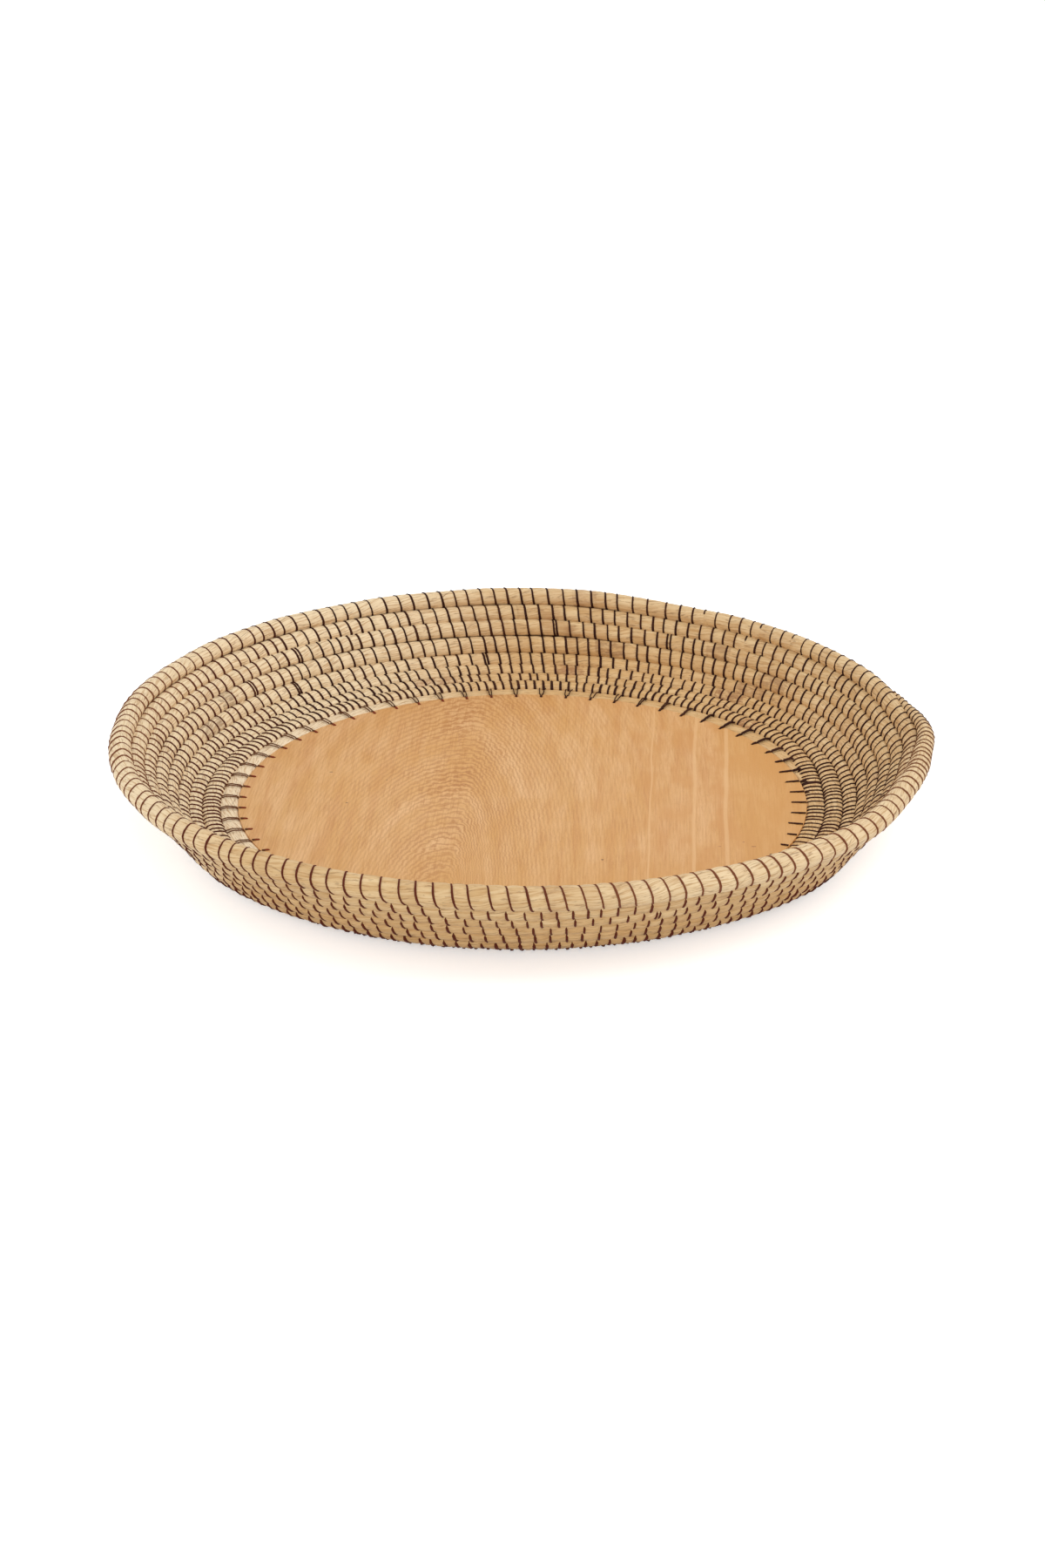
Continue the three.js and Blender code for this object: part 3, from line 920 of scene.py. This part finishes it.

# %% Grass: leaves, painted groove shade and painted sheen
def leaf_edges(tree, fibre):
    """Where a leaf ends: a thin line that runs slightly askew, and the height of the leaf beside it."""
    across = times_plus(tree, soft_noise(tree, fibre, 24.0, 1.0), LEAF_BEND, parts(tree, fibre)["Y"])
    share = math_node(tree, "FRACT", times(tree, across, 1 / LEAF_WIDTH))
    line = minus(tree, 1.0, step_up(tree, share, 0.0, 0.09))
    shown = patches(tree, fibre, 75.0, 0.44)
    return times(tree, line, shown), times(tree, share, shown)


def painted_groove_shade(tree, along, across):
    """Painted shade deep in the grooves beside the bundle. The rim's last row has no groove on its outer side.
    """
    turn = math_node(tree, "COSINE", times(tree, across, TURN / GIRTH))
    inner = step_up(tree, turn, GROOVE_FROM, GROOVE_FULL)
    outer = step_up(tree, turn, -GROOVE_FROM, -GROOVE_FULL)
    below_rim = math_node(tree, "LESS_THAN", along, (RIM_ROW - 1) * TURN_LENGTH)
    shallow = step_up(tree, along, (COIL_END - TAPER) * TURN_LENGTH, (COIL_END - 0.7 * TAPER) * TURN_LENGTH)
    inner = times(tree, inner, times_plus(tree, below_rim, 0.7, 0.3))
    inner = times(tree, inner, minus(tree, 1.0, shallow))
    either = times_plus(tree, outer, below_rim, inner)
    return times(tree, either, math_node(tree, "GREATER_THAN", along, GROOVE_SHADE_START * TURN_LENGTH))


def where_paler_sheen_highlight(tree, place):
    """Paler: painted sheen far left and right, a painted highlight on the rim's top, and the low right rows.
    """
    x, y, z = parts(tree, place)
    # painted sheen at the far left and on the rim at the right, and a painted highlight along the rim's top
    found = times(tree, step_up(tree, times_plus(tree, x, FAR_LEFT_LEAN, y), *FAR_LEFT_SHEEN), 0.95)
    top = times(tree, step_up(tree, z, *TOP_HIGHLIGHT), 0.28)
    right = times(tree, step_up(tree, times_plus(tree, y, RIGHT_LEAN, x), *RIGHT_SHEEN), 0.5)
    low_right = times(tree, step_up(tree, x, *LOW_RIGHT_PALER), 0.2)
    for share, within in (
        (top, step_up(tree, y, *TOP_BACK)),
        (right, step_up(tree, z, *RIGHT_HEIGHT)),
        (low_right, step_up(tree, flat_radius(tree, place), *LOW_ROWS)),
    ):
        found = larger(tree, found, times(tree, share, within))
    return found


def on_first_row(tree, place):
    """The innermost row, apart from its right side."""
    first_row = step_up(tree, flat_radius(tree, place), *FIRST_ROW)
    return times(tree, first_row, step_up(tree, parts(tree, place)["X"], *FIRST_ROW_LEFT))


print("leaves", round(LEAF_WIDTH / MM, 1), "mm wide")

# %% Grass: all together
def make_grass():
    material, tree, shader = new_material("grass")
    place = object_place(tree)
    along, around, _ = parts(tree, own_map(tree, "fibre"))
    tone, lean_share, _ = parts(tree, own_map(tree, "look"))
    brown, grey, _ = parts(tree, own_map(tree, "stain"))
    twist = times_plus(tree, lean_share, TWIST_RANGE, LEAF_TWIST - TWIST_RANGE / 2)
    fibre = flat_vector(tree, along, times_plus(tree, along, twist, around))
    wide = streaks(tree, fibre, 30.0, 330.0)
    fine = streaks(tree, fibre, 70.0, 1500.0)
    crack = streaks(tree, fibre, 150.0, 1000.0)
    line, leaf = leaf_edges(tree, fibre)
    dots = streaks(tree, fibre, 420.0, 1500.0)
    cloudy = step_up(tree, streaks(tree, fibre, 170.0, 420.0), 0.36, 0.6)
    colour = mix_colour(tree, step_up(tree, wide, 0.34, 0.66), STRAW, STRAW_PALE)
    colour = layered(tree, colour, [
        (tone, 0.35, STRAW_DEEP),
        (step_up(tree, parts(tree, place)["Z"], *LOW_GOLD), 0.35, STRAW_GOLD),
        # painted sheen and painted highlight: paler grass at the far sides and along the top of the rim
        (where_paler_sheen_highlight(tree, place), 1.0, STRAW_SHEEN_PALE),
        (on_first_row(tree, place), 0.9, STRAW_CREAM),
        (step_up(tree, fine, 0.47, 0.64), 0.65, STRAW_DEEP),
        (step_up(tree, crack, 0.57, 0.66), 0.45, STRAW_LINE),
        (patches(tree, place, 42.0, 0.60), 0.4, BROWNED),
        (times(tree, brown, cloudy), 0.75, BROWNED),
        (times(tree, grey, cloudy), 0.7, GREYED),
        (line, 0.7, STRAW_LINE),
        (step_up(tree, dots, 0.67, 0.73), 0.6, STRAW_LINE),
        # painted shade in the grooves between the rows
        (painted_groove_shade(tree, along, around), 0.7, GROOVE_SHADE),
    ])
    height = times_plus(tree, leaf, 1.2, times_plus(tree, fine, 0.7, wide))
    fill_surface(tree, shader, colour, (fine, 0.45, 0.25), (height, 0.7, 0.3 * MM), 0.3)
    return material


grass = make_grass()
for piece in bundle_pieces:
    piece.data.materials.append(grass)
    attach(piece, "root")
    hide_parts("grass_coil")
print("grass of", len(grass.node_tree.nodes), "nodes on", len(bundle_pieces), "stretches of the bundle")

# %% [markdown]
# ## Sewing thread
#
# One thread sews all the rows. It comes up in the groove inside its row, crosses the inner face, goes over
# into the outer groove, comes back across the outer face, and then runs on along the inner groove to the
# next stitch. Single rings round the bundle would be easier, but they would stand square, and the real
# stitches lean and end in small hooks. So the thread is a true winding: a list of points per stitch, swept
# by a tube of few sides, since it is repeated well over a thousand times. Each row has its own stretch of
# the thread.

# %% Sewing thread: a tube along points
THREAD_SIDES = 5
# the width of the thread's map, which is its way round
THREAD_GIRTH = 3 * MM


def swept_tube(name, points, radii):
    """A closed tube along a list of points, each with its radius, carried along without twist."""
    rings = []
    across = (points[1] - points[0]).orthogonal().normalized()
    for index, point in enumerate(points):
        before = points[max(index - 1, 0)]
        after = points[min(index + 1, len(points) - 1)]
        forward = (after - before).normalized()
        across = (across - forward * across.dot(forward)).normalized()
        rings.append((point, across.copy(), forward.cross(across)))

    def place(column, side):
        point, first, second = rings[column]
        turn = side * TURN / THREAD_SIDES
        return point + (first * math.cos(turn) + second * math.sin(turn)) * radii[column]

    steps = [0.0]
    for start, end in zip(points, points[1:]):
        steps.append(steps[-1] + (end - start).length)
    return rolled_tube(
        name, len(points), THREAD_SIDES, place, lambda column, share: (steps[column], share * THREAD_GIRTH)
    )


print("thread tubes have", THREAD_SIDES, "sides")

# %% Sewing thread: its thickness
THREAD_RADIUS = 0.7 * MM
# how much the thickness differs by chance, how much thinner it is on the rim and stouter at the back
STOUT_RANGE = (0.8, 1.14)
RIM_THINNER, BACK_STOUTER = 0.08, 0.1
# how wide it lies, in parts of its thickness: from the inner groove up to a share of the way round, and on the
# outer face from the low rows to the rim
INNER_WIDTHS, INNER_REACH = (1.1, 0.84), 0.42
OUTER_WIDTHS, OUTER_ROWS = (1.55, 1.02), (3, 5.5)
thread_dice = random.Random(23)


def stoutness(turns):
    at_back = max(math.sin(turns * TURN), 0.0) ** 2
    by_chance = THREAD_RADIUS * thread_dice.uniform(*STOUT_RANGE)
    return by_chance * (1 - RIM_THINNER * on_rim(turns)) * (1 + BACK_STOUTER * at_back)


def inner_width(share):
    """The thread is widest at the inner groove, where its plies lie side by side, and thinner further up."""
    return blend(*INNER_WIDTHS, smooth(share, 0.0, INNER_REACH))


def outer_width(turns):
    """On the outer face it is wide on the low rows and thinner on the rim."""
    return blend(*OUTER_WIDTHS, smooth(turns, *OUTER_ROWS))


print("thread of about", round(2 * THREAD_RADIUS / MM, 1), "mm")

# %% Sewing thread: one stitch
# how high the middle of the thread lies over the drawn-in grass, and how deep it is sunk in the grooves
SEATED, GROOVE_DEPTH = 0.16 * MM, 0.45 * MM
# a half hidden stitch: how near it is to its place in the list, how deep it lies, and up to which share
HALF_SEEN_REACH, HALF_SEEN_DEPTH, HALF_SEEN_TO = 4 * MM, 2 * MM, 0.28
# it is sunk where it leaves the inner groove and where it comes back to it, in shares of the way round
LEAVES_GROOVE, MEETS_GROOVE = (0.06, 0.0), (0.92, 0.98)
# share of the way round the bundle of each point of a stitch, from the inner groove back to it
ROUND = (0.02, 0.07, 0.14, 0.22, 0.3, 0.38, 0.45, 0.52, 0.6, 0.68, 0.76, 0.84, 0.91, 0.97)
# at its end a stitch hooks this share of the way towards the next one, and then the thread runs on so far
HOOK, HOOK_SHARES, RUN_ON, RUN_ON_WIDTH = 0.12, (0.78, 0.98), 0.85, 0.9
# on the outer face a stitch goes under the grass before it meets the row above
GAP_DEPTH, INTO_GAP, OUT_OF_GAP = 1.1 * MM, (0.46, 0.52), (0.65, 0.58)


def sunk_depth(share, turns):
    """How far the thread is sunk at a share of the way round: in the inner groove and in the outer gap."""
    in_groove = smooth(share, *LEAVES_GROOVE) + smooth(share, *MEETS_GROOVE)
    in_gap = smooth(share, *INTO_GAP) * smooth(share, *OUT_OF_GAP)
    return GROOVE_DEPTH * in_groove + GAP_DEPTH * (1 - on_rim(turns)) * in_gap


def stitch_points(start, end):
    """The thread round the bundle from one stitch to the next: its points and the radius at each."""
    half_seen = any(abs(start - place) < to_turns(HALF_SEEN_REACH, start) for place in HALF_SEEN)
    stout = stoutness(start)
    points, radii = [], []
    for share in ROUND:
        hooked = HOOK * smooth(share, *HOOK_SHARES) * (end - start)
        moved = stitch_lean(min(share, HIDDEN), start) + hooked
        sunk = HALF_SEEN_DEPTH if half_seen and share < HALF_SEEN_TO else sunk_depth(share, start)
        around = math.pi - share * TURN
        points.append(on_bundle(min(start + moved, COIL_END), around, SEATED - sunk, pinch=1.0))
        radii.append(stout * (inner_width(share) if share < 0.5 else outer_width(start)))
    points.append(on_bundle(min(blend(start, end, RUN_ON), COIL_END), -math.pi, -GROOVE_DEPTH))
    radii.append(stout * RUN_ON_WIDTH)
    return points, radii


print("points in a stitch:", len(ROUND) + 1)

# %% Sewing thread: row by row
# a stitch this close to the end of a turn, in turns, already belongs to the next row
ROW_EARLY = 0.014


def make_sewing(row):
    """The thread of one row, as one tube."""
    own = [index for index, place in enumerate(stitches[:-1]) if row == max(int(place + ROW_EARLY), 1) + 1]
    points, radii = [], []
    for index in own:
        new_points, new_radii = stitch_points(stitches[index], stitches[index + 1])
        points += new_points
        radii += new_radii
    for point, radius in zip(points, radii):
        point.z = max(point.z, radius)
    piece = swept_tube(f"sewing_row_{row}", points, radii)
    print(piece.name, len(own), "stitches,", len(piece.data.polygons), "faces")
    return piece


sewing = [make_sewing(row) for row in range(2, RIM_ROW + 2)]

# %% [markdown]
# ## Base lacing
#
# The disc has a ring of holes just inside its edge. At each hole two strands lie over the innermost row:
# one arrives from the groove outside the row, goes down the hole and returns beneath, and the other comes
# over the same hole a little further on. Together they make a narrow V with its point at the hole. At the
# right of the back they lie close together and lean. This is again one long winding, so it is made with the
# same sweep.

# %% Base lacing: sizes
LACING_RADIUS = 0.35 * MM
# the two strands of a hole lie this far to each side of it on the wood
STRAND_BESIDE = 0.36 * MM
# how high a strand passes beneath the tray, and how far past the disc's edge it goes there
UNDER, UNDER_OUT = 0.6 * MM, 3 * MM
# the circle where the strands come down onto the wood
HOLE_MOUTH = 157 * MM
# where the strands dip into the wood, at the left and at the right, and how much that differs by chance, in mm
DIP_CIRCLE, DIP_CHANCE = (155.4 * MM, 151.2 * MM), 0.5
# at the right of the back: how far a strand leans, how much nearer its fellow it lies, and how much stouter
STRAND_LEAN, STRANDS_NEARER, STRAND_STOUTER = 2.5 * MM, 0.6, 0.35
# half the distance between the two strands of a hole, at the groove outside row 1, in mm
STRANDS_APART = (1.0, 2.6)
# the points of a strand over row 1, as shares of the way over it, those where that row is sewn, and the angle
# round the bundle at which that way starts
OVER_ROW, OVER_SEWN_ROW, OVER_START = (0.0, 0.12, 0.3, 0.5, 0.7, 0.88), (0.9, 0.96, 1.02), -0.3
# where the right of the back and the right side lie: the cosine and sine at which they start and are full
RIGHT_BACK_COSINE, RIGHT_BACK_SINE, RIGHT_COSINE = (0.3, 0.6), (0.0, 0.4), (0.93, 0.97)
strands_dice = random.Random(3)
print("lacing of", round(2 * LACING_RADIUS / MM, 2), "mm through", HOLE_COUNT, "holes")

# %% Base lacing: the winding
def right_back(turns):
    """1 at the right of the back, where the strands lie close together and lean, and 0 elsewhere."""
    angle = turns * TURN
    return smooth(math.cos(angle), *RIGHT_BACK_COSINE) * smooth(math.sin(angle), *RIGHT_BACK_SINE)


def strand(turns, apart):
    """One strand: over the innermost row, or from under it where that is sewn, into the hole and back."""
    radius = bundle(turns)[0]
    angle = turns * TURN
    close = right_back(turns)
    apart *= 1 - STRANDS_NEARER * close
    points = []
    for share in OVER_SEWN_ROW if turns > SEWN_FROM else OVER_ROW:
        around = OVER_START + share * (math.pi - OVER_START)
        beside = (apart * (1 - share * 0.7) + STRAND_LEAN * close * (1 - share)) / (TURN * radius)
        points.append(on_bundle(turns + beside, around, (0.3 + 0.7 * math.sin(share * math.pi)) * MM))
    dip = blend(*DIP_CIRCLE, smooth(math.cos(angle), *RIGHT_COSINE))
    dip += strands_dice.uniform(-DIP_CHANCE, DIP_CHANCE) * MM + close * MM
    paired = math.copysign(STRAND_BESIDE, apart) / radius
    into_wood = [
        (DISC_RADIUS - 0.5 * MM, paired * 1.4, DISC_TOP + 0.5 * MM),
        (HOLE_MOUTH, paired, DISC_TOP + 0.36 * MM),
        (dip, paired, DISC_TOP + 0.15 * MM),
        (dip - 0.4 * MM, 0.0, DISC_TOP - 1.2 * MM),
        (HOLE_CIRCLE, 0.0, UNDER),
        (DISC_RADIUS + UNDER_OUT, apart * 0.5 / radius, UNDER),
    ]
    return points + [round_tray(out, angle + turned, height) for out, turned, height in into_wood]


def make_lacing():
    points, radii = [], []
    for turns in lacings:
        for side in (-1, 1):
            new_points = strand(turns, side * strands_dice.uniform(*STRANDS_APART) * MM)
            points += new_points
            radii += [LACING_RADIUS * (1 + STRAND_STOUTER * right_back(turns))] * len(new_points)
    piece = swept_tube("base_lacing_strands", points, radii)
    print(piece.name, "of", len(points), "points")
    return piece


lacing = make_lacing()

# %% [markdown]
# ## Thread material
#
# The thread is waxed and a very dark brown. Painted light makes it redder at the front and the left, where
# more light reaches it, and a painted sheen makes it a lighter brown on the far sides of the rim. On the
# innermost row it is a lighter brown too. Its two plies wind round each other, which shows as fine slanted
# ridges. They run on the tube's own map, like the grass fibres.

# %% Thread material
THREAD_DARK = paint(48, 19, 12)
THREAD_RED = paint(104, 60, 38)
THREAD_LIT_RED = paint(112, 48, 28)
# a red-brown painted where more light reaches the thread, as painted light
THREAD_PALE_BROWN = paint(138, 94, 62)
PLY_LENGTH = 2.2 * MM
PLIES = 2
# where a tone starts and where it is full: a paler brown of painted sheen on the rim at the left and at the
# right, and redder with painted light at the front and at the left
SHEEN_LEFT, SHEEN_LEFT_HEIGHT = (-175 * MM, -215 * MM), (22 * MM, 44 * MM)
SHEEN_RIGHT, SHEEN_RIGHT_HEIGHT = (190 * MM, 260 * MM), (34 * MM, 44 * MM)
LIT_RED_FRONT, LIT_RED_LEFT = (-20 * MM, -170 * MM), (-110 * MM, -190 * MM)
# inside the disc's edge the thread has the red-brown of the stains, but not at the right
INSIDE_EDGE, STAINED_LEFT = (158.2 * MM, 157 * MM), (20 * MM, -60 * MM)


# painted sheen: the thread is a paler brown on the rim at the far left and at the far right
def thread_sheen_mask(tree, place):
    x, y, z = parts(tree, place)
    left = times(tree, step_up(tree, x, *SHEEN_LEFT), step_up(tree, z, *SHEEN_LEFT_HEIGHT))
    right = step_up(tree, times_plus(tree, y, RIGHT_LEAN, x), *SHEEN_RIGHT)
    return larger(tree, left, times(tree, right, step_up(tree, z, *SHEEN_RIGHT_HEIGHT)))


def make_thread():
    material, tree, shader = new_material("thread")
    fibre = own_map(tree, "fibre")
    place = object_place(tree)
    x, y, _ = parts(tree, place)
    along, around, _ = parts(tree, fibre)
    turn = times_plus(tree, along, TURN / PLY_LENGTH, times(tree, around, PLIES * TURN / THREAD_GIRTH))
    fuzz = streaks(tree, fibre, 900.0, 2400.0)
    # painted light: the thread is redder at the front and the left, where more light reaches it
    lit_red_left = times(tree, step_up(tree, x, *LIT_RED_LEFT), 0.4)
    red = larger(tree, times(tree, step_up(tree, y, *LIT_RED_FRONT), 0.55), lit_red_left)
    inside = step_up(tree, flat_radius(tree, place), *INSIDE_EDGE)
    stained = times(tree, inside, step_up(tree, x, *STAINED_LEFT))
    colour = layered(tree, THREAD_DARK, [
        (patches(tree, place, 55.0, 0.45), 0.25, THREAD_RED),
        (step_up(tree, fuzz, 0.5, 0.8), 0.3, THREAD_RED),
        # painted sheen makes the thread paler on the rim's far sides, and painted light makes it redder at the
        # front and the left
        (thread_sheen_mask(tree, place), 0.85, THREAD_PALE_BROWN),
        (red, 1.0, THREAD_LIT_RED),
        (on_first_row(tree, place), 0.5, THREAD_PALE_BROWN),
        (stained, 1.0, STAIN),
    ])
    plies = math_node(tree, "SINE", turn)
    fill_surface(tree, shader, colour, (fuzz, 0.45, 0.3), (plies, 0.5, 0.12 * MM), 0.1)
    return material


thread = make_thread()
for piece in sewing + [lacing]:
    piece.data.materials.append(thread)
    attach(piece, "root")
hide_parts("base_lacing")
print("thread of", len(thread.node_tree.nodes), "nodes on", len(sewing) + 1, "pieces")

# %% [markdown]
# ## Floor and light
#
# The tray was photographed on white under soft light, a little stronger from the right. A large white plane
# and a pale world give most of that light, and three large lamps shade the bundle's round rows. The camera
# and reflections see the world as pure white, and the plane glows a little for them, so its edge doesn't
# show. The light that falls on the tray stays at a plain level.

# %% Floor and light: what the camera sees
def seen_directly(tree):
    """1 for the camera's own rays, also by way of a reflection or glass, and 0 for light."""
    path = add_node(tree, "ShaderNodeLightPath").outputs
    found = path["Is Camera Ray"]
    for kind in ("Is Glossy Ray", "Is Transmission Ray"):
        found = larger(tree, found, path[kind])
    return found


print("kinds of ray that see the floor's glow: camera, glossy, transmission")

# %% Floor and light: the floor
FLOOR_SIZE = 8.0
FLOOR_GLOW = 0.5
FLOOR_GREY = 0.9
FLOOR_ROUGHNESS = 0.9

floor_mesh = bpy.data.meshes.new("floor")
floor_bm = bmesh.new()
bmesh.ops.create_grid(floor_bm, x_segments=1, y_segments=1, size=FLOOR_SIZE / 2)
floor_bm.to_mesh(floor_mesh)
floor_bm.free()
floor = bpy.data.objects.new("floor", floor_mesh)
bpy.context.scene.collection.objects.link(floor)

floor_paint, floor_tree, floor_shader = new_material("floor_white")
for socket, value in {
    "Base Color": (FLOOR_GREY, FLOOR_GREY, FLOOR_GREY, 1.0), "Roughness": FLOOR_ROUGHNESS,
    "Specular IOR Level": 0.0, "Emission Color": (1.0, 1.0, 1.0, 1.0),
}.items():
    floor_shader.inputs[socket].default_value = value
floor_glow = times(floor_tree, seen_directly(floor_tree), FLOOR_GLOW)
floor_tree.links.new(floor_glow, floor_shader.inputs["Emission Strength"])
floor_mesh.materials.append(floor_paint)
print("floor of", FLOOR_SIZE, "m")

# %% Floor and light: world and lamps
WORLD_LEVEL = 0.59
# place, size in metres and power in watts of each lamp
LAMPS = {
    "window": ((1.5, 0.1, 1.7), 1.6, 20.4),
    "front": ((-0.2, -2.3, 0.9), 1.6, 15.2),
    "left": ((-1.7, 0.2, 0.9), 1.4, 8.8),
}

world = bpy.data.worlds.new("world")
bpy.context.scene.world = world
world.use_nodes = True
world_tree = world.node_tree
backdrop = world_tree.nodes["Background"]
backdrop.inputs["Color"].default_value = (1.0, 1.0, 1.0, 1.0)
level_range = {"Value": seen_directly(world_tree), "To Min": WORLD_LEVEL, "To Max": 1.0}
level = add_node(world_tree, "ShaderNodeMapRange", level_range)
world_tree.links.new(level.outputs["Result"], backdrop.inputs["Strength"])

for label, (lamp_place, lamp_size, power) in LAMPS.items():
    lamp_data = bpy.data.lights.new(label, "AREA")
    lamp_data.energy = power
    lamp_data.size = lamp_size
    lamp = bpy.data.objects.new(label, lamp_data)
    lamp.location = lamp_place
    lamp.rotation_euler = (-Vector(lamp_place)).to_track_quat("-Z", "Y").to_euler()
    bpy.context.scene.collection.objects.link(lamp)
bpy.context.scene.view_settings.view_transform = "Standard"
print("lamps:", sorted(LAMPS))
